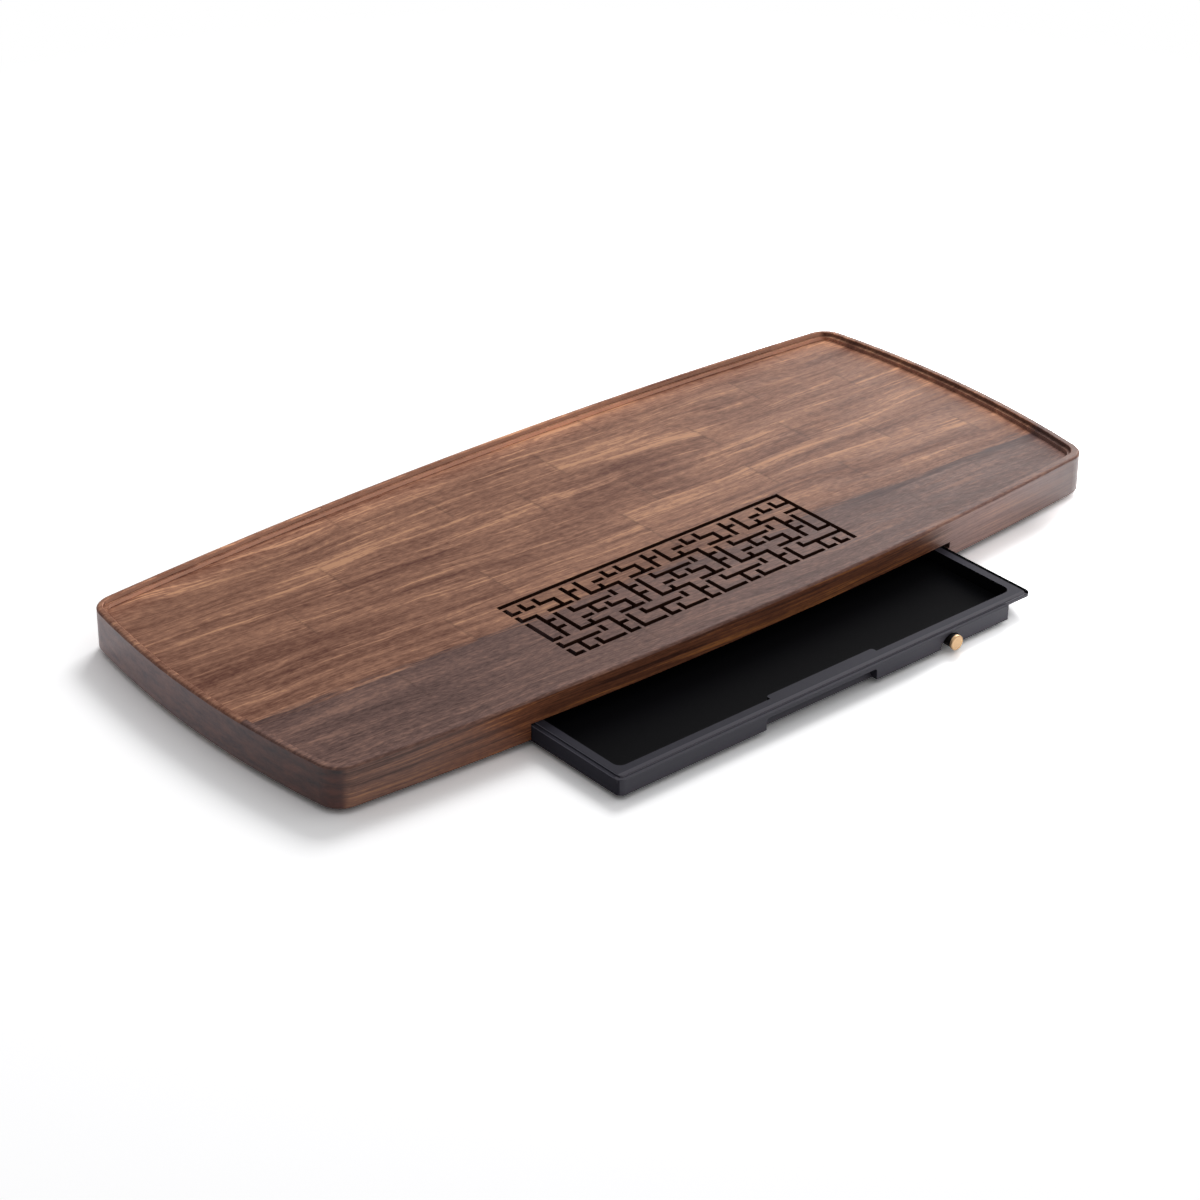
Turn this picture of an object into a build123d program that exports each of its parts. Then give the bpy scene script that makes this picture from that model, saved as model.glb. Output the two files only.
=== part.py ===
"""Gongfu tea tray: a milled bamboo board with a pierced lattice over a sliding water drawer.

The frame has +X along the tray, +Y to the back and +Z up, and stands on z = 0. The origin is below the
centre of everything with the drawer pulled out, as the tray is modelled.
"""

import os

from build123d import *

# Board
board_length = 600.0
board_width = 262.3
board_thickness = 26.5
end_bow = 8.4  # how far the short ends bulge between their corners
side_bow = 12.8  # how far the long sides bulge
corner_radius = 16.0
top_round = 2.0  # radius that the two flats of the top edge follow
bottom_bevel = 1.6
inner_bevel = 0.4
rim_front = 5.7  # rim widths, from the outer face to the recess
rim_back = 3.4
rim_end = 4.4
step_depth = 2.6  # the recess goes down in two steps
step_width = 2.2
recess_depth = 5.0

# Lattice in the recess floor
cell_length = 10.27
cell_width = 9.15
border_cell_width = 10.9  # the front and back rows of cells
cells_along = 21
cells_across = 7
slot_width = 3.2
bridge_width = 2.0
lattice_forward = 64.1  # from the board's centre to the lattice's centre, towards the front

# Drawer
drawer_length = 319.4  # over the rim
drawer_depth = 140.0
drawer_height = 10.6
drawer_offset = -3.7  # rim's centre from the board's centre
drawer_open = 74.0  # how far it is pulled out here
fascia_setback = 4.6  # closed fascia behind the middle of the board's front
fascia_inset = 21.5  # fascia's right end, left of the rim's
wall = 2.0
floor_thickness = 2.0
rim_land = 8.1  # rim width at the left, from the skirt to the tub's inside
front_land = 10.5
flange_overhang = 7.0  # right flange beyond the tub's wall
flange_land = 3.5  # outer land of the right flange, beside the raised strip
ledge_width = 2.5  # outer land of the rim at the front and left
strip_rise = 0.9
rim_thickness = 2.1
skirt_corner = 4.0
tub_corner = 8.0
tub_inner_corner = 5.0
edge_bevel = 0.35

# Finger recess in the fascia
pull_length = 84.7
pull_height = 7.2
pull_top_round = 1.8
scoop_foot = 4.1  # foot of its sloping back wall behind the fascia's face
scoop_head = 8.4
bulge_length = 82.0  # inside the tub, over the finger recess
bulge_depth = 3.7
bulge_corner = 2.0

# Drain
spigot_inset = 47.0  # from the fascia's right end
spigot_height = 3.75  # axis above the drawer's underside
spigot_radius = 4.0
spigot_bore = 2.0
spigot_tail = 3.0
spigot_reach = 3.2  # nozzle beyond the fascia
notch_radius = 8.0
notch_rise = 0.15  # centre of the notch's arch above the drawer's underside
cap_radius = 4.65
cap_thickness = 1.8
cap_bevel = 0.35
stopper_length = 8.0
stopper_tip = 0.4
stopper_play = 0.07

# Clearances
rest_gap = 0.35
ceiling_gap = 0.55
side_gap = 0.6
ledge_gap = 1.2
slot_gap = 4.5
overrun = 5.0  # how far cutters pass their faces

# Pocket, guide strip and bumpers
pocket_corner = 6.0
strip_thickness = 1.5
strip_width = 14.0
strip_lip = 4.0
strip_start = 14.0  # behind the board's front
strip_end_margin = 10.0
strip_screw_count = 2
strip_screw_head = 2.7
strip_screw_shank = 1.4
strip_screw_length = 14.0
strip_screw_margin = 12.0
bumper_length = 12.0
bumper_height = 8.0
bumper_thickness = 1.2
bumper_spacing = 200.0

# Feet
foot_height = 3.0
foot_sink = 3.0
foot_radius = 8.0
foot_tip_radius = 7.2
foot_well_radius = 4.3
foot_well_depth = 3.4
foot_inset_x = 34.0
foot_inset_y = 34.0
washer_radius = 4.0
washer_thickness = 0.8
foot_screw_shank = 1.5
foot_screw_head = 2.8
foot_screw_head_height = 1.6
foot_screw_length = 16.0
fit_gap = 0.1

# Heights
board_bottom = foot_height
board_top = board_bottom + board_thickness
recess_floor = board_top - recess_depth
drawer_bottom = board_bottom + rest_gap
drawer_top = drawer_bottom + drawer_height
pocket_ceiling = drawer_top + ceiling_gap
land_z = drawer_top - strip_rise
rim_bottom = land_z - rim_thickness
ledge_z = rim_bottom - rest_gap
spigot_z = drawer_bottom + spigot_height

# Places along Y: the board's centre comes from the reach of the whole tray
front_reach = board_width / 2 - fascia_setback + drawer_open + spigot_reach + cap_thickness
board_y = (front_reach - board_width / 2) / 2
board_front = board_y - board_width / 2
fascia_y = board_front + fascia_setback - drawer_open
drawer_rear = fascia_y + drawer_depth
tub_front = fascia_y + front_land - wall
pocket_rear = drawer_rear + drawer_open + rest_gap + bumper_thickness
nozzle_front = fascia_y - spigot_reach
lattice_y = board_y - lattice_forward

# Places along X
rim_left = drawer_offset - drawer_length / 2
rim_right = drawer_offset + drawer_length / 2
fascia_right = rim_right - fascia_inset
tub_left = rim_left + rim_land - wall
tub_right = rim_right - flange_overhang
pull_x = (rim_left + fascia_right) / 2
spigot_x = fascia_right - spigot_inset
pocket_left = rim_left - side_gap
ledge_left = tub_right + ledge_gap
slot_right = rim_right + slot_gap


def bowed_outline(half_length, half_width, corner):
    """Rectangle whose four sides bow outward between round corners."""
    end_x, side_y = half_length - corner, half_width - corner
    corner_x, corner_y = end_x - end_bow, side_y - side_bow
    with BuildSketch() as outline:
        with BuildLine():
            ThreePointArc((corner_x, -corner_y), (end_x, 0), (corner_x, corner_y))
            ThreePointArc((corner_x, corner_y), (0, side_y), (-corner_x, corner_y))
            ThreePointArc((-corner_x, corner_y), (-end_x, 0), (-corner_x, -corner_y))
            ThreePointArc((-corner_x, -corner_y), (0, -side_y), (corner_x, -corner_y))
        make_face()
        offset(amount=corner)
    return outline.sketch


def block(x0, x1, y0, y1, corners=()):
    """Rectangle between two X and two Y places; corners lists (x side, y side, radius) to round."""
    with BuildSketch() as plan:
        with Locations(((x0 + x1) / 2, (y0 + y1) / 2)):
            Rectangle(x1 - x0, y1 - y0)
        for x_side, y_side, radius in corners:
            picked = plan.vertices().group_by(Axis.Y)[y_side].sort_by(Axis.X)[x_side]
            fillet(picked, radius=radius)
    return plan.sketch


def rounded_block(x0, x1, y0, y1, radius):
    """Rectangle between two X and two Y places with four round corners."""
    with BuildSketch() as plan:
        with Locations(((x0 + x1) / 2, (y0 + y1) / 2)):
            RectangleRounded(x1 - x0, y1 - y0, radius)
    return plan.sketch


# Lattice: slots run along grid lines from one line to another, counted from the left and from the back
repeat = 6  # columns after which the pattern comes again


def column_x(i):
    """X of grid line i, counted from the left."""
    return (i - cells_along / 2) * cell_length


def row_y(j):
    """Y of grid line j, counted from the back."""
    inner_half = (cells_across / 2 - 1) * cell_width
    if j == 0:
        return lattice_y + inner_half + border_cell_width
    if j == cells_across:
        return lattice_y - inner_half - border_cell_width
    return lattice_y + (cells_across / 2 - j) * cell_width


def lattice_runs():
    """Every slot as (column or row, number of its line, first line, last line).

    The pattern is the same from the front as from the back.
    """
    column_runs = {
        0: ((1, 3), (4, 6)),
        1: ((0, 1), (2, 5), (6, 7)),
        2: ((0, 1), (2, 5), (6, 7)),
        3: ((1, 3), (4, 6)),
        4: ((0, 2), (3, 4), (5, 7)),
        5: ((0, 2), (3, 4), (5, 7)),
    }
    row_runs = {1: ((0, 3), (4, 5)), 2: ((-1, 1), (2, 4)), 3: ((1, 2), (3, 6))}
    runs = [("column", i, 0, cells_across) for i in (0, cells_along)]
    runs += [("row", j, 0, cells_along) for j in (0, cells_across)]
    for i in range(1, cells_along):
        runs += [("column", i, a, b) for a, b in column_runs[i % repeat]]
    for j in range(1, cells_across):
        for a, b in row_runs[min(j, cells_across - j)]:
            for start in range(0, cells_along, repeat):
                low, high = max(a + start, 0), min(b + start, cells_along)
                if low < high:
                    runs.append(("row", j, low, high))
    return runs


def lattice_bridges():
    """Every bridge of wood as (column or row, column line, row line).

    One across a column's slot lies just in front of a row, and one across a row's slot just left of a
    column. The tables give them for the left border and for one repeat.
    """
    left_border_bridges = (0, 1, 2, 5, 6)
    column_bridges = {0: (1, 2, 5), 1: (0,), 2: (0, 2, 6), 3: (2, 4, 5), 4: (0,), 5: (0, 3, 5)}
    row_bridges = {1: (1, 2, 5), 2: (4,), 3: (0, 2), 4: (2, 4, 5), 5: (1,), 6: (3, 5), 7: (1, 2, 4, 5)}
    bridges = [("column", 0, j) for j in left_border_bridges]
    for i in range(1, cells_along):
        bridges += [("column", i, j) for j in column_bridges[i % repeat]]
        bridges += [("row", i, j) for j, places in row_bridges.items() if i % repeat in places]
    return bridges + [("row", cells_along, cells_across)]


def lattice_slots():
    """Plan of the pierced slots, with the bridges taken out of them."""
    lines = {}
    for kind, line, low, high in lattice_runs():
        lines.setdefault((kind, low, high), []).append(line)
    shift = (slot_width + bridge_width) / 2
    with BuildSketch() as slots:
        for (kind, low, high), places in lines.items():
            if kind == "column":
                middle = (row_y(low) + row_y(high)) / 2
                with Locations(*[(column_x(i), middle) for i in places]):
                    Rectangle(slot_width, row_y(low) - row_y(high) + slot_width)
            else:
                middle = (column_x(low) + column_x(high)) / 2
                with Locations(*[(middle, row_y(j)) for j in places]):
                    Rectangle(column_x(high) - column_x(low) + slot_width, slot_width)
        bridges = lattice_bridges()
        with Locations(*[(column_x(i), row_y(j) - shift) for kind, i, j in bridges if kind == "column"]):
            Rectangle(slot_width, bridge_width, mode=Mode.SUBTRACT)
        with Locations(*[(column_x(i) - shift, row_y(j)) for kind, i, j in bridges if kind == "row"]):
            Rectangle(bridge_width, slot_width, mode=Mode.SUBTRACT)
    return slots.sketch


# Feet and screws share these places
foot_x = board_length / 2 - foot_inset_x
foot_y = board_width / 2 - foot_inset_y
foot_places = [(x, board_y + y) for x in (-foot_x, foot_x) for y in (-foot_y, foot_y)]
guide_right = pocket_left + side_gap + strip_lip
guide_left = guide_right - strip_width
guide_front = board_front + strip_start
guide_rear = pocket_rear - strip_end_margin
guide_screw_x = (guide_left + pocket_left) / 2
guide_screw_pitch = (guide_rear - guide_front - 2 * strip_screw_margin) / (strip_screw_count - 1)
guide_screw_places = [
    (guide_screw_x, guide_front + strip_screw_margin + n * guide_screw_pitch)
    for n in range(strip_screw_count)
]

# Board
recess_y = board_y + (rim_front - rim_back) / 2
recess_half_length = board_length / 2 - rim_end
recess_half_width = (board_width - rim_front - rim_back) / 2

# The board's top edge is eased by two flats that touch the round: one at 45 degrees and a flatter one above
first_flat_share = 2 - 2**0.5
second_flat_share = 0.2152
with BuildPart() as tray_board:
    with BuildSketch(Plane.XY.offset(board_bottom)):
        with Locations((0, board_y)):
            add(bowed_outline(board_length / 2, board_width / 2, corner_radius))
    extrude(amount=board_thickness)
    chamfer(tray_board.faces().sort_by(Axis.Z)[-1].edges(), length=first_flat_share * top_round)
    chamfer(tray_board.faces().sort_by(Axis.Z)[-1].edges(), length=second_flat_share * top_round)
    chamfer(tray_board.faces().sort_by(Axis.Z)[0].edges(), length=bottom_bevel)

    # Recess in two steps
    with BuildSketch(Plane.XY.offset(board_top)):
        with Locations((0, recess_y)):
            add(bowed_outline(recess_half_length, recess_half_width, corner_radius - rim_end))
    extrude(amount=-step_depth, mode=Mode.SUBTRACT)
    with BuildSketch(Plane.XY.offset(board_top)):
        with Locations((0, recess_y)):
            inner_corner = corner_radius - rim_end - step_width
            add(bowed_outline(recess_half_length - step_width, recess_half_width - step_width, inner_corner))
    extrude(amount=-recess_depth, mode=Mode.SUBTRACT)
    rim_face = tray_board.faces().filter_by(Axis.Z).sort_by(Axis.Z)[-1]
    chamfer(rim_face.inner_wires().edges(), length=inner_bevel)

    # Drawer pocket, open below and at the front, and the slot over the right runner ledge
    pocket_corners = ((0, -1, pocket_corner), (-1, -1, pocket_corner))
    with BuildSketch(Plane.XY.offset(pocket_ceiling)):
        add(block(pocket_left, ledge_left, board_front - overrun, pocket_rear, pocket_corners))
    extrude(amount=-(pocket_ceiling - board_bottom + overrun), mode=Mode.SUBTRACT)
    with BuildSketch(Plane.XY.offset(pocket_ceiling)):
        add(block(pocket_left, slot_right, board_front - overrun, pocket_rear, pocket_corners))
    extrude(amount=-(pocket_ceiling - ledge_z), mode=Mode.SUBTRACT)

    # Pierced lattice
    with BuildSketch(Plane.XY.offset(recess_floor)):
        add(lattice_slots())
    extrude(amount=-(recess_floor - pocket_ceiling + fit_gap), mode=Mode.SUBTRACT)

    # Sockets and pilot holes in the underside
    with BuildSketch(Plane.XY.offset(board_bottom)):
        with Locations(*foot_places):
            Circle(foot_radius + fit_gap)
    extrude(amount=foot_sink, mode=Mode.SUBTRACT)
    with BuildSketch(Plane.XY.offset(board_bottom)):
        with Locations(*foot_places):
            Circle(foot_screw_shank + fit_gap)
    extrude(amount=foot_screw_length, mode=Mode.SUBTRACT)
    with BuildSketch(Plane.XY.offset(board_bottom)):
        with Locations(*guide_screw_places):
            Circle(strip_screw_shank + fit_gap)
    extrude(amount=strip_screw_length, mode=Mode.SUBTRACT)
tray_board.part.label = "tray_board"

# Drawer
inside_left, inside_right = rim_left + rim_land, tub_right - wall
inside_front, inside_rear = fascia_y + front_land, drawer_rear - wall
skirt_height = rim_bottom - drawer_bottom
pull_left, pull_right = pull_x - pull_length / 2, pull_x + pull_length / 2
front_plane = Plane.XZ.offset(-fascia_y)
with BuildPart() as drawer:
    # Rim: a plate with the fascia's part standing further forward, and a raised strip on it
    with BuildSketch(Plane.XY.offset(rim_bottom)):
        rear_corners = ((0, -1, tub_corner), (-1, -1, tub_corner))
        add(block(rim_left, rim_right, fascia_y + ledge_width, drawer_rear,
                  rear_corners + ((-1, 0, skirt_corner),)))
        add(block(rim_left, fascia_right, fascia_y, drawer_rear - tub_corner, ((0, 0, skirt_corner),)))
    extrude(amount=rim_thickness)
    chamfer(drawer.faces().sort_by(Axis.Z)[-1].edges(), length=edge_bevel)
    with BuildSketch(Plane.XY.offset(land_z)):
        add(block(rim_left + ledge_width, rim_right - flange_land, fascia_y + ledge_width, drawer_rear,
                  rear_corners + ((0, 0, ledge_width), (-1, 0, skirt_corner))))
    extrude(amount=strip_rise)
    chamfer(drawer.faces().sort_by(Axis.Z)[-1].edges(), length=edge_bevel)

    # Skirt: a thin outer skin at the front and left, with a short return at its right end
    with BuildSketch(Plane.XY.offset(drawer_bottom)):
        add(block(rim_left, fascia_right, fascia_y, drawer_rear, ((0, 0, skirt_corner), (0, -1, tub_corner))))
        add(block(rim_left + wall, fascia_right - wall, fascia_y + wall, drawer_rear - wall,
                  ((0, 0, skirt_corner - wall), (0, -1, tub_corner - wall))), mode=Mode.SUBTRACT)
    extrude(amount=skirt_height)

    # Tub and its inside
    with BuildSketch(Plane.XY.offset(drawer_bottom)):
        add(rounded_block(tub_left, tub_right, tub_front, drawer_rear, tub_corner))
    extrude(amount=drawer_height - edge_bevel)
    with BuildSketch(Plane.XY.offset(drawer_bottom + floor_thickness)):
        add(rounded_block(inside_left, inside_right, inside_front, inside_rear, tub_inner_corner))
    extrude(amount=drawer_height, mode=Mode.SUBTRACT)

    # Sloping back wall of the finger recess, its two ends, and the bulge inside the tub over it
    with BuildSketch(Plane.YZ.offset(pull_left - wall)):
        with BuildLine():
            Polyline(
                (fascia_y + scoop_foot, drawer_bottom),
                (fascia_y + scoop_head, rim_bottom),
                (fascia_y + front_land, rim_bottom),
                (fascia_y + scoop_foot + wall, drawer_bottom),
                close=True,
            )
        make_face()
    extrude(amount=pull_length + 2 * wall)
    with BuildSketch(Plane.XY.offset(drawer_bottom)):
        add(block(pull_left - wall, pull_left, fascia_y, tub_front + wall))
        add(block(pull_right, pull_right + wall, fascia_y, tub_front + wall))
    extrude(amount=skirt_height)
    bulge_left, bulge_right = drawer_offset - bulge_length / 2, drawer_offset + bulge_length / 2
    with BuildSketch(Plane.XY.offset(drawer_top)):
        add(block(bulge_left, bulge_right, inside_front - wall, inside_front + bulge_depth,
                  ((0, -1, bulge_corner), (-1, -1, bulge_corner))))
    extrude(amount=floor_thickness - drawer_height)
    with BuildSketch(Plane.YZ.offset(bulge_left)):
        with BuildLine():
            Polyline(
                (inside_front, drawer_bottom + floor_thickness),
                (inside_front + bulge_depth, rim_bottom),
                (inside_front + bulge_depth, drawer_bottom + floor_thickness),
                close=True,
            )
        make_face()
    extrude(amount=bulge_length, mode=Mode.SUBTRACT)

    # Openings of the finger recess and of the arched notch, and the hole for the nozzle
    with BuildSketch(front_plane) as pull_opening:
        with Locations((pull_x, drawer_bottom)):
            Rectangle(pull_length, 2 * pull_height)
        fillet(pull_opening.vertices().group_by(Axis.Y)[-1], radius=pull_top_round)
    extrude(amount=-wall, mode=Mode.SUBTRACT)
    with BuildSketch(front_plane):
        with Locations((spigot_x, drawer_bottom + notch_rise)):
            Circle(notch_radius)
    extrude(amount=-(tub_front - fascia_y), mode=Mode.SUBTRACT)
    with BuildSketch(front_plane):
        with Locations((spigot_x, spigot_z)):
            Circle(spigot_tail + fit_gap)
    extrude(amount=-(inside_front - fascia_y), mode=Mode.SUBTRACT)

drawer.part.label = "drawer"

# Drain nozzle, with its tail in the drawer's front wall
with BuildPart() as drain_spigot:
    with BuildSketch(Plane.XZ.offset(-nozzle_front)):
        with Locations((spigot_x, spigot_z)):
            Circle(spigot_radius)
            Circle(spigot_bore, mode=Mode.SUBTRACT)
    extrude(amount=-(tub_front - nozzle_front))
    with BuildSketch(Plane.XZ.offset(-tub_front)):
        with Locations((spigot_x, spigot_z)):
            Circle(spigot_tail)
            Circle(spigot_bore, mode=Mode.SUBTRACT)
    extrude(amount=-wall)
drain_spigot.part.label = "drain_spigot"

# Plug: a rubber stopper in the bore and its brass head
plug_plane = Plane((spigot_x, nozzle_front, spigot_z), x_dir=(1, 0, 0), z_dir=(0, -1, 0))
with BuildPart() as plug_stopper:
    with BuildSketch(plug_plane):
        Circle(spigot_bore - stopper_play)
    extrude(amount=-stopper_length)
    chamfer(plug_stopper.edges().group_by(Axis.Y)[-1], length=stopper_tip)
plug_stopper.part.label = "plug_stopper"

with BuildPart() as plug_cap:
    with BuildSketch(plug_plane):
        Circle(cap_radius)
    extrude(amount=cap_thickness)
    chamfer(plug_cap.edges().group_by(Axis.Y)[0], length=cap_bevel)
plug_cap.part.label = "plug_cap"

# Guide strip under the board, with countersunk screws
with BuildPart() as left_guide_strip:
    with BuildSketch(Plane.XY.offset(board_bottom - strip_thickness)):
        add(block(guide_left, guide_right, guide_front, guide_rear))
    extrude(amount=strip_thickness)
    with Locations(*[(x, y, board_bottom - strip_thickness) for x, y in guide_screw_places]):
        Cone(strip_screw_head + fit_gap, strip_screw_shank + fit_gap, strip_thickness,
             align=(Align.CENTER, Align.CENTER, Align.MIN), mode=Mode.SUBTRACT)
left_guide_strip.part.label = "left_guide_strip"

with BuildPart() as guide_strip_screws:
    with Locations(*[(x, y, board_bottom - strip_thickness) for x, y in guide_screw_places]):
        Cone(strip_screw_head, strip_screw_shank, strip_thickness,
             align=(Align.CENTER, Align.CENTER, Align.MIN))
    with BuildSketch(Plane.XY.offset(board_bottom)):
        with Locations(*guide_screw_places):
            Circle(strip_screw_shank)
    extrude(amount=strip_screw_length - fit_gap)
guide_strip_screws.part.label = "guide_strip_screws"

# Bumpers on the pocket's rear wall
with BuildPart() as drawer_bumpers:
    with BuildSketch(Plane.XZ.offset(-pocket_rear)):
        bumper_z = (board_bottom + pocket_ceiling) / 2
        with Locations(*[(drawer_offset + side * bumper_spacing / 2, bumper_z) for side in (-1, 1)]):
            Rectangle(bumper_length, bumper_height)
    extrude(amount=bumper_thickness)
drawer_bumpers.part.label = "drawer_bumpers"

# Rubber feet with a well for the washer and the screw's head
foot_total = foot_height + foot_sink
well_top = foot_well_depth
with BuildPart() as foot:
    with BuildSketch(Plane.XZ):
        with BuildLine():
            Polyline(
                (foot_screw_shank + fit_gap, well_top),
                (foot_well_radius, well_top),
                (foot_well_radius, 0),
                (foot_tip_radius, 0),
                (foot_radius, foot_total),
                (foot_screw_shank + fit_gap, foot_total),
                close=True,
            )
        make_face()
    revolve(axis=Axis.Z)

with BuildPart() as rubber_feet:
    with Locations(*foot_places):
        add(foot.part)
rubber_feet.part.label = "rubber_feet"

with BuildPart() as foot_washers:
    with BuildSketch(Plane.XY.offset(well_top - washer_thickness)):
        with Locations(*foot_places):
            Circle(washer_radius)
            Circle(foot_screw_shank + fit_gap, mode=Mode.SUBTRACT)
    extrude(amount=washer_thickness)
foot_washers.part.label = "foot_washers"

head_top = well_top - washer_thickness
with BuildPart() as foot_screws:
    with BuildSketch(Plane.XY.offset(head_top - foot_screw_head_height)):
        with Locations(*foot_places):
            Circle(foot_screw_head)
    extrude(amount=foot_screw_head_height)
    with BuildSketch(Plane.XY.offset(head_top)):
        with Locations(*foot_places):
            Circle(foot_screw_shank)
    extrude(amount=board_bottom + foot_screw_length - fit_gap - head_top)
foot_screws.part.label = "foot_screws"

os.makedirs("parts", exist_ok=True)
for piece in (
    tray_board,
    drawer,
    drain_spigot,
    plug_stopper,
    plug_cap,
    left_guide_strip,
    guide_strip_screws,
    drawer_bumpers,
    rubber_feet,
    foot_washers,
    foot_screws,
):
    export_step(piece.part, f"parts/{piece.part.label}.step")
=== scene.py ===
"""Looks of the gongfu tea tray: oiled strand-woven bamboo, a black moulded drawer and a brass-headed plug."""

import math

import bpy
import numpy as np
from mathutils import Matrix, Vector


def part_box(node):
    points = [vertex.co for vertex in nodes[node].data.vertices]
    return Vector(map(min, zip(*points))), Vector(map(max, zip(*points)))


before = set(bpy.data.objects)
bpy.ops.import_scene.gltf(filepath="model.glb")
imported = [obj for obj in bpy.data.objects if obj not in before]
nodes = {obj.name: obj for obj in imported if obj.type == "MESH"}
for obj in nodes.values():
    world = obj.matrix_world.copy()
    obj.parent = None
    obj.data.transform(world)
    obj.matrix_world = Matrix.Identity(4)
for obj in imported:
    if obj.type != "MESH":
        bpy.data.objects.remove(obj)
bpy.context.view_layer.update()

MM = 0.001

# Camera, as seen from the front left
VIEW_AZIMUTH = math.radians(-40.59)
VIEW_ELEVATION = math.radians(29.66)
VIEW_ROLL = math.radians(0.446)
LENS_MM = 103.7
SENSOR_MM = 36.0
VIEW_DISTANCE = 2031 * MM
VIEW_TARGET = np.array((-33.2, 6.2, 3.0)) * MM
NEAREST, FARTHEST = 0.05, 50

# Studio dome: brightness at its horizon's mean, its least, and how it rises along each axis
LIGHT_LEVEL = 0.31
LIGHT_LEAST = 0.05
LIGHT_SLOPE = (0.30, 0.0, 0.34)

# Key light high behind the tray's right end, and a lower softbox that only gives the sheen: place in metres,
# width in metres, watts
KEY_LIGHT = ((1.33, 0.92, 1.68), 0.9, 28.5)
SHEEN_LIGHT = ((1.9, 1.0, 0.95), 1.4, 46.0)

# Table: half its side in metres, its colour in the light, and how bright it is as a background, left of the
# tray's middle and right of it; brighter to the right as painted light that fades the tray's shadow there
TABLE_HALF = 4.0
TABLE_LIT = (0.85, 0.85, 0.85, 1)
TABLE_LEFT = (1.30, 1.30, 1.31, 1)
TABLE_RIGHT = (1.75, 1.75, 1.76, 1)
WHITE = (1, 1, 1, 1)

# Places on the board
board_low, board_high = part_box("tray_board")
BOARD_Y = (board_low[1] + board_high[1]) / 2
STEP_Z = board_high[2] - 2.6 * MM
RECESS_FLOOR = board_high[2] - 4.99 * MM
LATTICE_X, LATTICE_Y = 0.0, BOARD_Y - 64.1 * MM
LATTICE_HALF_LENGTH, LATTICE_HALF_WIDTH = 111 * MM, 36 * MM

# The recess's back and right walls: place at the middle, and bow for each square metre off it
BACK_WALL_Y, BACK_WALL_BOW = BOARD_Y + 121.7 * MM, 0.169
RIGHT_WALL_X, RIGHT_WALL_BOW = board_high[0] - 6.6 * MM, 0.635

# Places on the drawer
drawer_low, drawer_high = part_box("drawer")
POCKET_CEILING = drawer_high[2] + 0.5 * MM
TUB_LEFT, TUB_RIGHT = drawer_low[0] + 8.0 * MM, drawer_high[0] - 8.9 * MM
TUB_FRONT, TUB_REAR = drawer_low[1] + 10.4 * MM, drawer_high[1] - 1.9 * MM
TUB_FLOOR, TUB_RIM = drawer_low[2] + 1.9 * MM, drawer_high[2] - 0.3 * MM
DRAWER_FACE, LAND_Z = drawer_low[1], drawer_high[2] - 0.9 * MM
FLANGE_LAND = drawer_high[0] - 3.6 * MM

# Wood: how much the grain leans off the tray's length, where the dark front zone ends, and the staves as rows
# counted from STAVE_START to the back, each with its first stave's tone and then (place of a butt joint in mm,
# next stave's tone)
GRAIN_LEAN = 0.055
FRONT_LEAN = 0.040
FRONT_EDGE = -0.013
STAVE_START = -0.0138
STAVE_WIDTH = 0.0311
STAVES = {
    -3: (0.0, (-215, 0.06), (40, -0.04), (210, 0.14)),
    -2: (-0.04, (-60, 0.04), (171, 0.02)),
    -1: (0.02, (-198, -0.02), (60, 0.05), (232, 0.0)),
    0: (-0.04, (-140, 0.06), (20, 0.0), (168, 0.04), (268, 0.12)),
    1: (-0.10, (-90, -0.02), (20, 0.20), (120, 0.10), (216, 0.04)),
    2: (-0.02, (-205, 0.04), (50, -0.06), (176, -0.02)),
    3: (0.02, (-160, -0.04), (-12, -0.08), (127, -0.02), (252, 0.04)),
    4: (0.06, (-60, 0.02), (28, 0.10), (190, 0.02)),
    5: (-0.02, (-120, 0.04), (80, -0.04), (240, 0.06)),
}

# Palettes of the wood: (place on the tone, display colour)
WOOD = ((0.12, (89, 53, 43)), (0.32, (113, 76, 61)), (0.50, (135, 96, 78)), (0.68, (156, 113, 91)),
        (0.90, (189, 141, 110)))
FRONT_ZONE = ((0.14, (76, 56, 52)), (0.50, (106, 81, 75)), (0.86, (140, 107, 94)))
# FACE_LEFT's grey is a painted reflection of the table; FACE_RIGHT is partly a paler stave and partly painted
# reflection
FACE = ((0.16, (64, 33, 23)), (0.50, (126, 77, 53)), (0.86, (200, 130, 76)))
FACE_LEFT = ((0.16, (76, 52, 46)), (0.50, (126, 92, 79)), (0.86, (170, 124, 98)))
FACE_RIGHT = ((0.16, (130, 100, 97)), (0.50, (167, 134, 126)), (0.86, (202, 157, 134)))

# Gloss as a specular level: faces that lie open to the softbox hardly shine, the upright outer ones do more
WOOD_GLOSS, OUTER_WOOD_GLOSS = 0.03, 0.35
PLASTIC_GLOSS, FASCIA_GLOSS = 0.02, 0.24
FAINT_GLOSS = 0.1


def srgb(red, green, blue):
    """Linear colour of an 8-bit display colour."""
    channels = [c / 255 for c in (red, green, blue)]
    return tuple(c / 12.92 if c <= 0.04045 else ((c + 0.055) / 1.055) ** 2.4 for c in channels) + (1.0,)


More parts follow.
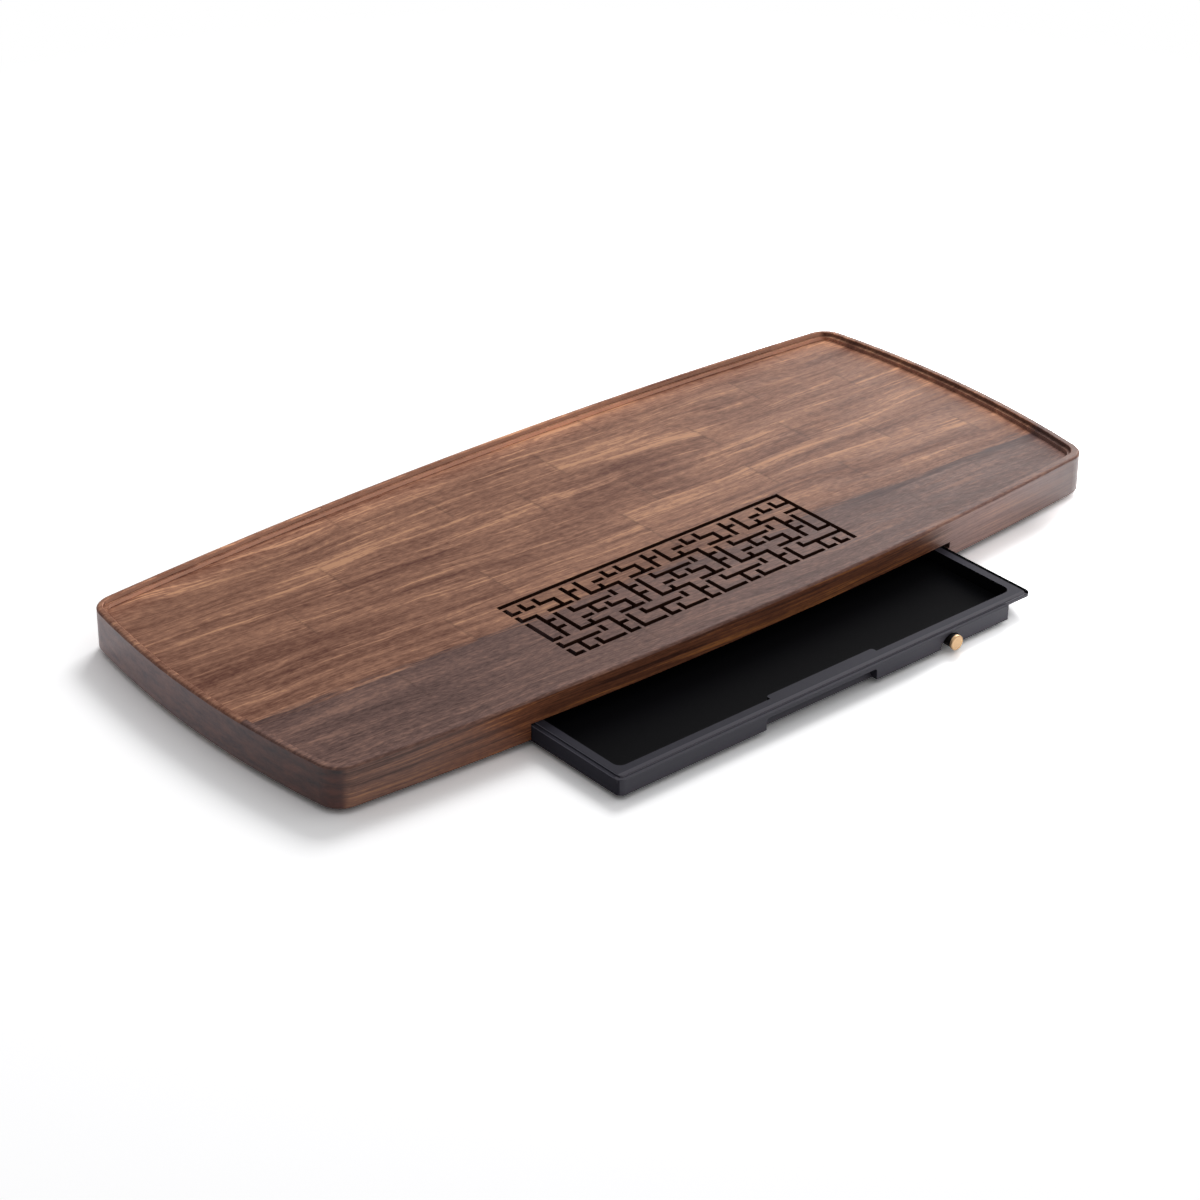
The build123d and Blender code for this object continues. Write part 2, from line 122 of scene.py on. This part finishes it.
class Graph:
    """Nodes of one material or of the world; each method adds a node and gives back its output socket."""

    def __init__(self, owner):
        owner.use_nodes = True
        self.owner = owner
        self.tree = owner.node_tree
        self.tree.nodes.clear()
        self.coordinates = self.tree.nodes.new("ShaderNodeTexCoord").outputs
        self.place = self.coordinates["Object"]

    def add(self, kind, settings=None, **inputs):
        """A node with its settings and its inputs, which are named or, as _0, _1 and so on, counted."""
        node = self.tree.nodes.new(kind)
        for key, value in (settings or {}).items():
            setattr(node, key, value)
        for key, value in inputs.items():
            self.feed(node.inputs[int(key[1:]) if key[0] == "_" else key], value)
        return node

    def feed(self, socket, value):
        if isinstance(value, bpy.types.NodeSocket):
            self.tree.links.new(value, socket)
        else:
            socket.default_value = value

    def axes(self, vector):
        return self.add("ShaderNodeSeparateXYZ", _0=vector).outputs

    def vector(self, x=0.0, y=0.0, z=0.0):
        return self.add("ShaderNodeCombineXYZ", _0=x, _1=y, _2=z).outputs[0]

    def normal(self):
        return self.axes(self.add("ShaderNodeNewGeometry").outputs["Normal"])

    def stretched(self, scale, vector=None):
        """Object coordinates, or vector, multiplied by scale along each axis."""
        source = self.place if vector is None else vector
        return self.add("ShaderNodeMapping", Scale=scale, Vector=source).outputs["Vector"]

    def noise(self, vector, scale=1.0, detail=2.0, rough=0.5):
        return self.add("ShaderNodeTexNoise", Vector=vector, Scale=scale, Detail=detail,
                        Roughness=rough).outputs["Fac"]

    def math(self, operation, a, b=0.0):
        return self.add("ShaderNodeMath", {"operation": operation}, _0=a, _1=b).outputs[0]

    def total(self, first, *others):
        for value in others:
            first = self.math("ADD", first, value)
        return first

    def product(self, first, *others):
        for value in others:
            first = self.math("MULTIPLY", first, value)
        return first

    def less(self, a, b):
        return self.math("SUBTRACT", a, b)

    def apart(self, a, b):
        """Distance between two values."""
        return self.math("ABSOLUTE", self.less(a, b))

    def spread(self, value, low, high, to_low=0.0, to_high=1.0, smooth=True):
        """value carried from low..high to to_low..to_high, clamped."""
        return self.add("ShaderNodeMapRange", {"interpolation_type": "SMOOTHSTEP" if smooth else "LINEAR"},
                        _0=value, _1=low, _2=high, _3=to_low, _4=to_high).outputs[0]

    def reach(self, value, low, high, *rest, **settings):
        """spread with its limits in mm."""
        return self.spread(value, low * MM, high * MM, *rest, **settings)

    def mix(self, factor, a, b):
        return self.add("ShaderNodeMix", {"data_type": "RGBA"}, _0=factor, _6=a, _7=b).outputs[2]

    def scaled(self, colour, factor):
        return self.add("ShaderNodeVectorMath", {"operation": "SCALE"}, _0=colour, Scale=factor).outputs[0]

    def ramp(self, value, palette):
        """Colour ramp through a palette of (place, display colour)."""
        node = self.add("ShaderNodeValToRGB", Fac=value)
        elements = node.color_ramp.elements
        while len(elements) < len(palette):
            elements.new(0.5)
        for element, (place, colour) in zip(elements, palette):
            element.position = place
            element.color = srgb(*colour)
        return node.outputs["Color"]

    def bump(self, height, strength, distance):
        return self.add("ShaderNodeBump", Strength=strength, Distance=distance, Height=height).outputs["Normal"]

    def background_rays(self):
        """1 for rays that see the background: the camera's, mirrored and transmitted ones."""
        path = self.add("ShaderNodeLightPath").outputs
        mirrored = self.math("MAXIMUM", path["Is Glossy Ray"], path["Is Transmission Ray"])
        return self.math("MAXIMUM", path["Is Camera Ray"], mirrored)

    def surface(self, shader, output="ShaderNodeOutputMaterial"):
        """Gives the material or world this shader, and returns the material or world."""
        self.tree.links.new(shader, self.tree.nodes.new(output).inputs["Surface"])
        return self.owner

    def finish(self, **inputs):
        """Principled surface from the given sockets and values; returns the material."""
        named = {key.replace("_", " "): value for key, value in inputs.items()}
        return self.surface(self.add("ShaderNodeBsdfPrincipled", **named).outputs[0])


def material_graph(name):
    """Graph of a new material."""
    return Graph(bpy.data.materials.new(name))


class BambooGraph(Graph):
    """Graph of carbonised strand-woven bamboo: pressed strands that lean slightly off X, glued up in staves.

    It holds the place, the normal and the layers of streaks that the board's faces share. A layer is noise about
    0, long along the grain and narrow across it.
    """

    def __init__(self, name):
        super().__init__(bpy.data.materials.new(name))
        self.x, self.y, self.z = self.axes(self.place)
        self.nx, self.ny, self.nz = self.normal()
        self.off_axis = self.less(self.y, BOARD_Y)
        self.arm = self.total(self.product(self.nx, self.x), self.product(self.ny, self.off_axis))
        self.stave, self.seam = self.staves()

        # Grain that leans, sways and jumps from stave to stave
        self.sway = self.noise(self.stretched((5, 20, 20)), detail=1)
        self.drift = self.noise(self.stretched((18, 60, 60)), detail=2)
        across = self.total(self.y, self.product(self.x, GRAIN_LEAN), self.product(self.sway, 0.022),
                            self.product(self.drift, 0.005))
        self.grain = self.vector(self.x, across, self.total(self.z, self.product(self.stave, 0.013)))
        self.broad = self.streaks(120, 14)
        self.strand = self.streaks(80, 2.8)
        self.thin = self.streaks(26, 1.5)
        self.fleck = self.streaks(5, 1.1, detail=3, rough=0.6)

    def streaks(self, along, wide, detail=2.0, rough=0.5, course=None):
        """A layer whose cells have the given length along the course and width across it, in mm."""
        scale = (1000 / along, 1000 / wide, 1000 / wide)
        course = self.grain if course is None else course
        field = self.noise(self.stretched(scale, course), detail=detail, rough=rough)
        return self.less(field, 0.5)

    def blend(self, start, *layers):
        """start and the sum of (layer, share)."""
        return self.total(start, *(self.product(layer, share) for layer, share in layers))

    def staves(self):
        """Tone of each stave and the thin seams at its butt joints, from the rows of STAVES."""
        row = self.math("FLOOR", self.math("DIVIDE", self.less(self.y, STAVE_START), STAVE_WIDTH))
        tone, seam = 0.0, 0.0
        for number, (level, *joints) in STAVES.items():
            here = self.add("ShaderNodeMath", {"operation": "COMPARE"}, _0=row, _1=float(number), _2=0.5).outputs[0]
            run = level
            for place, next_level in joints:
                past = self.math("GREATER_THAN", self.x, place * MM)
                run = self.total(self.product(past, next_level - level), run)
                level = next_level
                near = self.reach(self.apart(self.x, place * MM), 0.2, 1.8, 0.24, 0.0)
                seam = self.total(seam, self.product(here, near))
            tone = self.total(tone, self.product(here, run))
        return tone, seam

    def open_grain(self):
        """Colour of the sawn wood, and the mask of its plainer, darker front zone with the slanted edge."""
        tone = self.blend(self.product(self.stave, 0.5), (self.broad, 0.80), (self.streaks(120, 5.5), 0.46),
                          (self.strand, 0.40), (self.thin, 0.46), (self.fleck, 0.76), (self.streaks(6, 5), 0.36))
        flame = self.blend(self.streaks(95, 3.2, detail=1), (self.thin, 0.35), (self.broad, 0.5))
        tone = self.blend(tone, (self.spread(flame, 0.10, 0.26), 0.26))

        border = self.blend(self.y, (self.x, FRONT_LEAN), (self.sway, 0.012),
                            (self.total(self.strand, self.thin), 0.012))
        front = self.spread(border, FRONT_EDGE - 3 * MM, FRONT_EDGE + 3 * MM, 1.0, 0.0)
        calm = self.total(self.product(tone, 0.75), self.product(self.fleck, 0.6))
        tone = self.blend(tone, (front, self.less(calm, tone)))
        place = self.total(tone, 0.5)
        colour = self.mix(front, self.ramp(place, WOOD), self.ramp(place, FRONT_ZONE))

        # Dark line on the zone's edge, unbroken at the right
        line = self.reach(self.apart(border, FRONT_EDGE - 4 * MM), 0, 6, 1.0, 0.0)
        unbroken = self.math("MAXIMUM", self.spread(self.drift, 0.40, 0.62), self.reach(self.x, 110, 150))
        line = self.product(line, unbroken, self.reach(self.x, 60, 160, 0.45, 0.75))
        colour = self.mix(line, colour, srgb(64, 48, 49))
        return self.mix(self.seam, colour, srgb(62, 42, 36)), front

    def painted_rim_light(self, colour, front):
        """Colour with painted light and shade on the rim, the recess's walls and floor, the bevels and the
        lattice's tiles.
        """
        # Painted light: the back wall and lower walls lit, walls facing left greyed, painted highlights on bevels
        # and the step
        inward = self.reach(self.arm, -12, -4, 1.0, 0.0)
        above = self.spread(self.z, RECESS_FLOOR, RECESS_FLOOR + 0.1 * MM)
        flat = self.spread(self.nz, 0.8, 0.95)
        wall = self.product(inward, above, self.spread(self.nz, 0.2, 0.4, 1.0, 0.0))
        behind = self.product(wall, self.spread(self.ny, -0.7, -0.95))
        side = self.product(wall, self.spread(self.nx, -0.7, -0.9))
        low = self.product(wall, self.spread(self.z, STEP_Z - 0.1 * MM, STEP_Z + 0.1 * MM, 1.0, 0.0))
        bevel = self.product(inward, above, self.spread(self.nz, 0.4, 0.6), self.less(1.0, flat))
        step = self.product(flat, above)
        # Painted sheen greying the rim's top at the right end
        crest = self.product(flat, self.spread(self.z, STEP_Z + 1.0 * MM, STEP_Z + 2.0 * MM),
                             self.reach(self.x, 230, 290))

        # Painted light on the floor near the back wall and beside the right one, lifting the shade those walls cast
        # there
        back_wall = self.less(BACK_WALL_Y, self.product(self.x, self.x, BACK_WALL_BOW))
        near = self.product(self.reach(self.less(back_wall, self.y), 0, 18, 1.0, 0.0), flat)
        right_wall = self.less(RIGHT_WALL_X, self.product(self.off_axis, self.off_axis, RIGHT_WALL_BOW))
        beside = self.product(self.reach(self.less(right_wall, self.x), 0, 12, 1.0, 0.0), flat,
                              self.less(1.0, above))

        # Painted highlight on the eased outer edge, and painted shade darkening the lattice's tiles behind the
        # front zone
        eased = self.product(self.spread(self.nz, 0.2, 0.35), self.spread(self.nz, 0.94, 0.98, 1.0, 0.0))
        edge = self.product(eased, self.reach(self.arm, 20, 40), self.reach(self.x, 0, 200))
        tiles = self.product(self.reach(self.apart(self.x, LATTICE_X), 107, 109, 1.0, 0.0),
                             self.reach(self.apart(self.y, LATTICE_Y), 32, 34, 1.0, 0.0), self.less(1.0, front))

        # Tints of painted light on the back wall, the walls facing left and the rim's top at the right end, then
        # painted gains
        for mask, share, tint in ((behind, 0.7, (178, 144, 126)), (side, 0.5, (126, 100, 92)),
                                  (crest, 0.45, (128, 108, 102))):
            colour = self.mix(self.product(mask, share), colour, srgb(*tint))
        return self.scaled(colour, self.blend(1.0, (behind, 0.75), (low, 0.7), (bevel, 1.2), (step, 0.12),
                                              (near, 0.30), (edge, 0.5), (beside, 0.6), (tiles, -0.18)))

    def front_face(self):
        """Colour of the upright front: red-brown and lined, with painted reflection greying its left and paling it
        past the slot.
        """
        rise = self.total(self.z, self.product(self.sway, 0.010))
        course = self.vector(self.x, self.product(self.y, 0.1), rise)
        lines = self.blend(0.5, (self.streaks(220, 5.0, course=course), 0.65),
                           (self.streaks(110, 2.0, course=course), 0.85),
                           (self.streaks(40, 0.9, course=course), 0.8), (self.fleck, 0.45))
        lines = self.less(lines, self.reach(self.z, 15, 27, 0.0, 0.13))
        # Greyer at the left as a painted reflection of the table; past the slot partly a paler stave, partly
        # painted reflection
        left = self.reach(self.x, -250, -170, 0.8, 0.0)
        right = self.reach(self.total(self.x, self.product(lines, 0.03)), 152, 178)
        # Painted shade darkening the right end against the table's bright reflection in it
        far_right = self.reach(self.x, 200, 280, 0.0, 0.88, smooth=False)
        colour = self.mix(left, self.ramp(lines, FACE), self.ramp(lines, FACE_LEFT))
        colour = self.mix(right, colour, self.ramp(lines, FACE_RIGHT))
        return self.mix(far_right, colour, srgb(96, 78, 76))

    def end_grain(self):
        """Colour of the ends: mottled, and paler towards the back as painted light from the table's bounce."""
        mottle = self.noise(self.stretched((40, 55, 190)), detail=4, rough=0.7)
        mottle = self.spread(mottle, 0.34, 0.66, smooth=False)
        # Painted light: the table's bounce paling the ends towards the back
        back = self.reach(self.off_axis, -110, 110, smooth=False)
        return self.mix(back, self.mix(mottle, srgb(47, 35, 36), srgb(90, 55, 48)),
                        self.mix(mottle, srgb(118, 104, 110), srgb(158, 130, 126)))


def bamboo(name, gloss):
    """Oiled bamboo of the whole board, whose outer faces have their own colours."""
    g = BambooGraph(name)
    colour = g.painted_rim_light(*g.open_grain())
    outer = g.product(g.reach(g.arm, 40, 80), g.spread(g.nz, 0.5, 0.8, 1.0, 0.0))
    colour = g.mix(g.product(outer, g.spread(g.ny, -0.5, -0.8)), colour, g.front_face())
    end_on = g.product(outer, g.spread(g.math("ABSOLUTE", g.nx), 0.3, 0.6))
    colour = g.mix(end_on, colour, g.end_grain())
    height = g.total(g.product(g.fleck, 0.5), g.product(g.thin, 0.5))
    return g.finish(Base_Color=colour, Roughness=g.spread(g.thin, -0.2, 0.2, 0.36, 0.46),
                    Specular_IOR_Level=gloss, Normal=g.bump(height, 0.2, 0.0003))


def slot_shade_bamboo():
    """Routed walls of the lattice's slots, painted dark as the shade inside them."""
    g = material_graph("slot_shade_bamboo")
    slot_mottle = g.noise(g.stretched((400, 400, 120)), detail=3)
    return g.finish(Base_Color=g.mix(slot_mottle, srgb(28, 13, 9), srgb(62, 33, 21)), Roughness=0.7,
                    Specular_IOR_Level=FAINT_GLOSS)


def moulded_black(name, gloss, lighter):
    """Black moulded plastic, faintly spark-eroded, with painted highlights on its edges and painted light on its
    front land.

    lighter is how much painted light lightens it at the drawer's left and at its right.
    """
    g = material_graph(name)
    x, y, z = g.axes(g.place)
    slant = g.normal()[2]
    grain = g.noise(g.place, scale=2600, detail=3, rough=0.6)
    cloud = g.noise(g.place, scale=18, detail=2)
    colour = g.mix(cloud, srgb(43, 42, 49), srgb(53, 52, 60))
    # Painted light, rising towards the drawer's right
    colour = g.mix(g.reach(x, -60, 140, *lighter), colour, srgb(72, 70, 79))

    # Painted highlights on the 45 degree edges, and painted light on the front land and on the shaded low riser
    # behind it
    behind_face = g.less(y, DRAWER_FACE)
    edge = g.spread(g.apart(slant, math.sqrt(0.5)), 0.05, 0.15, 1.0, 0.0)
    land = g.product(g.spread(z, LAND_Z - 0.5 * MM, LAND_Z - 0.3 * MM), g.spread(slant, 0.3, 0.5),
                     g.reach(behind_face, 5.2, 5.8, 1.0, 0.0))
    riser = g.product(g.spread(z, LAND_Z, LAND_Z + 0.1 * MM), g.spread(slant, 0.0, 0.3, 1.0, 0.0),
                      g.reach(behind_face, 3.2, 3.8, 1.0, 0.0))
    colour = g.mix(g.product(edge, 0.6), colour, srgb(104, 104, 114))
    colour = g.mix(land, colour, srgb(71, 69, 76))
    colour = g.mix(riser, colour, srgb(118, 116, 124))
    return g.finish(Base_Color=colour, Roughness=g.spread(grain, 0.3, 0.7, 0.40, 0.52), Specular_IOR_Level=gloss,
                    Normal=g.bump(grain, 0.15, 0.0002))


def grained(name, scale, dark, light, bump=0.0, bump_depth=0.2 * MM, detail=2, rough=0.5, **surface):
    """Finish of one fine grain between two colours, which may also give it a bump."""
    g = material_graph(name)
    grain = g.noise(g.place, scale=scale, detail=detail, rough=rough)
    if bump:
        surface["Normal"] = g.bump(grain, bump, bump_depth)
    return g.finish(Base_Color=g.mix(grain, srgb(*dark), srgb(*light)), **surface)


def turned_brass():
    """Turned brass with fine rings about the plug's axis."""
    g = material_graph("turned_brass")
    low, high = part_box("plug_cap")
    axis = ((low[0] + high[0]) / 2, 0, (low[2] + high[2]) / 2)
    away = g.add("ShaderNodeVectorMath", {"operation": "DISTANCE"}, _0=g.stretched((1, 0, 1)),
                 _1=axis).outputs["Value"]
    ring = g.noise(g.vector(g.product(away, 2500)), detail=2)
    return g.finish(Base_Color=g.mix(ring, srgb(156, 120, 86), srgb(216, 184, 142)), Metallic=0.8,
                    Roughness=0.42, Normal=g.bump(ring, 0.2, 0.1 * MM))


def plated_steel(name, grey, blue, rough):
    """Zinc-plated steel with a fine grain down to 0.8 of its brightness."""
    g = material_graph(name)
    grain = g.noise(g.stretched((900, 900, 300)), detail=2)
    colour = srgb(grey, grey, blue)
    shade = tuple(c * 0.8 for c in colour[:3]) + (1.0,)
    return g.finish(Base_Color=g.mix(grain, colour, shade), Metallic=0.9, Roughness=rough)


black_rubber = grained("black_rubber", 1800, (22, 22, 22), (34, 34, 34), bump=0.2, Roughness=0.7)
FINISHES = {
    "tray_board": bamboo("strand_bamboo", WOOD_GLOSS),
    "drawer": moulded_black("moulded_black", PLASTIC_GLOSS, lighter=(0.0, 0.3)),
    "drain_spigot": grained("nozzle_black", 900, (16, 14, 14), (24, 21, 20), Roughness=0.5,
                            Specular_IOR_Level=FAINT_GLOSS),
    "plug_stopper": black_rubber,
    "plug_cap": turned_brass(),
    "left_guide_strip": grained("black_powder_coat", 3000, (24, 24, 25), (36, 36, 37), bump=0.2,
                                bump_depth=0.1 * MM, Roughness=0.5),
    "guide_strip_screws": plated_steel("screw_steel", 190, 194, 0.35),
    "drawer_bumpers": black_rubber,
    "rubber_feet": black_rubber,
    "foot_washers": plated_steel("washer_steel", 180, 184, 0.4),
    "foot_screws": plated_steel("foot_screw_steel", 190, 194, 0.35),
}

for node_name, material in FINISHES.items():
    slots = nodes[node_name].data.materials
    slots.clear()
    slots.append(material)


def second_finish(name, material, chosen):
    """Gives a node's polygons that chosen(centres, normals) picks another material."""
    mesh = nodes[name].data
    count = len(mesh.polygons)
    centres, normals = np.empty((count, 3)), np.empty((count, 3))
    index = np.empty(count, np.int32)
    mesh.polygons.foreach_get("center", centres.ravel())
    mesh.polygons.foreach_get("normal", normals.ravel())
    mesh.polygons.foreach_get("material_index", index)
    index[chosen(centres.T, normals.T)] = len(mesh.materials)
    mesh.materials.append(material)
    mesh.polygons.foreach_set("material_index", index)


def slot_walls(centres, normals):
    """Upright polygons under the recess floor, within the lattice."""
    x, y, z = centres
    inside = (np.abs(x - LATTICE_X) < LATTICE_HALF_LENGTH) & (np.abs(y - LATTICE_Y) < LATTICE_HALF_WIDTH)
    return inside & (np.abs(normals[2]) < 0.1) & (z > POCKET_CEILING) & (z < RECESS_FLOOR)


def outer_faces(centres, normals):
    """Upright polygons round the board that look away from its middle."""
    arm = normals[0] * centres[0] + normals[1] * (centres[1] - BOARD_Y)
    return (arm > 0.1) & (np.abs(normals[2]) < 0.5)


def tub_inside(centres, normals):
    """Polygons of the drawer that lie within its rim's inner edge and below it."""
    x, y, z = centres
    return ((x > TUB_LEFT) & (x < TUB_RIGHT) & (y > TUB_FRONT) & (y < TUB_REAR)
            & (z > TUB_FLOOR) & (z < TUB_RIM))


def fascia(centres, normals):
    """Polygons of the drawer that look forwards and stand in front of its tub."""
    return (normals[1] < -0.65) & (centres[1] < TUB_FRONT - 2.0 * MM)


def flange_land(centres, normals):
    """Polygons of the low land along the drawer's right flange and of its outer bevel."""
    return (centres[0] > FLANGE_LAND) & (normals[2] > 0.5) & (centres[2] > LAND_Z - 0.5 * MM)


second_finish("tray_board", slot_shade_bamboo(), slot_walls)
second_finish("tray_board", bamboo("polished_bamboo", OUTER_WOOD_GLOSS), outer_faces)
# The tub's inside: matt, and a far darker black as painted shade under the board
second_finish("drawer", grained("matt_shaded_black", 1500, (6, 6, 8), (11, 11, 13), bump=0.2, detail=3, rough=0.6,
                                Roughness=0.7, Specular_IOR_Level=PLASTIC_GLOSS), tub_inside)
# The fascia: glossier, and lifted more by painted light, most at the right
second_finish("drawer", moulded_black("polished_black", FASCIA_GLOSS, lighter=(0.5, 0.9)), fascia)
second_finish("drawer", grained("shaded_black", 2600, (7, 7, 9), (12, 12, 14), detail=3, rough=0.6,
                                Roughness=0.6, Specular_IOR_Level=0.0), flange_land)


def camera():
    """Camera at the photograph's angle: right and up axes from azimuth, elevation and roll."""
    az, el = VIEW_AZIMUTH, VIEW_ELEVATION
    forward = np.array((-math.sin(az) * math.cos(el), math.cos(az) * math.cos(el), -math.sin(el)))
    level = np.array((math.cos(az), math.sin(az), 0.0))
    rise = np.cross(level, forward)
    right = math.cos(VIEW_ROLL) * level + math.sin(VIEW_ROLL) * rise
    up = math.cos(VIEW_ROLL) * rise - math.sin(VIEW_ROLL) * level
    eye = VIEW_TARGET - forward * VIEW_DISTANCE
    lens = bpy.data.cameras.new("camera")
    lens.lens, lens.sensor_width = LENS_MM, SENSOR_MM
    lens.clip_start, lens.clip_end = NEAREST, FARTHEST
    obj = bpy.data.objects.new("camera", lens)
    columns = (right, up, -forward, eye)
    obj.matrix_world = Matrix([[float(c[row]) for c in columns] for row in range(3)] + [[0, 0, 0, 1]])
    bpy.context.scene.collection.objects.link(obj)
    bpy.context.scene.camera = obj


def table_finish():
    """Pale table that keeps the tray's shadow near it and is plain white as a background away from it.

    As a background it brightens to the right, most beside the tray's right end and in front of the drawer's, as
    painted light that makes the shadow faint there.
    """
    g = material_graph("pale_table")
    x, y, _ = g.axes(g.place)
    seen = g.background_rays()
    shown = g.mix(g.reach(x, 0, 220), TABLE_LEFT, TABLE_RIGHT)
    beside_drawer = g.product(g.reach(x, 40, 110), g.reach(y, -160, -150, 1.0, 0.0))
    # Painted light lifting the shadow beside the tray's right end and in front of the drawer's
    lift = g.total(g.reach(x, 225, 285, 1.0, 1.9), g.product(beside_drawer, 0.5))
    lit = g.add("ShaderNodeBsdfDiffuse", Color=g.mix(seen, TABLE_LIT, g.scaled(shown, lift)))
    plain = g.add("ShaderNodeEmission", Color=WHITE, Strength=1.0)
    away = g.add("ShaderNodeVectorMath", {"operation": "LENGTH"}, _0=g.place).outputs["Value"]
    share = g.product(seen, g.reach(away, 550, 1000))
    return g.surface(g.add("ShaderNodeMixShader", _0=share, _1=lit.outputs[0], _2=plain.outputs[0]).outputs[0])


def table():
    """Table top under the feet, as the stage."""
    half = TABLE_HALF
    mesh = bpy.data.meshes.new("table_top")
    mesh.from_pydata([(-half, -half, 0), (half, -half, 0), (half, half, 0), (-half, half, 0)], [],
                     [(0, 1, 2, 3)])
    mesh.materials.append(table_finish())
    obj = bpy.data.objects.new("table_top", mesh)
    bpy.context.scene.collection.objects.link(obj)


def surround():
    """Studio dome that is brightest high on the right and dark low on the left, and white as a background."""
    g = Graph(bpy.data.worlds.new("studio"))
    slope = g.add("ShaderNodeVectorMath", {"operation": "DOT_PRODUCT"}, _0=g.coordinates["Generated"],
                  _1=LIGHT_SLOPE).outputs["Value"]
    level = g.math("MAXIMUM", g.total(slope, LIGHT_LEVEL), LIGHT_LEAST)
    strength = g.add("ShaderNodeMix", _0=g.background_rays(), _2=level, _3=1.0).outputs[0]
    dome = g.add("ShaderNodeBackground", Color=WHITE, Strength=strength).outputs[0]
    bpy.context.scene.world = g.surface(dome, "ShaderNodeOutputWorld")


def lamp(name, place, width, watts, sheen):
    """Square light turned to the tray, which gives either the sheen alone or all but the sheen."""
    light = bpy.data.lights.new(name, "AREA")
    light.shape, light.size, light.energy = "SQUARE", width, watts
    obj = bpy.data.objects.new(name, light)
    obj.location = place
    obj.rotation_euler = Vector(place).to_track_quat("Z", "Y").to_euler()
    obj.visible_camera = False
    obj.visible_glossy = sheen
    obj.visible_diffuse = not sheen
    bpy.context.scene.collection.objects.link(obj)


camera()
table()
surround()
lamp("key_light", *KEY_LIGHT, sheen=False)
lamp("sheen_light", *SHEEN_LIGHT, sheen=True)

bpy.context.scene.view_settings.view_transform = "Standard"
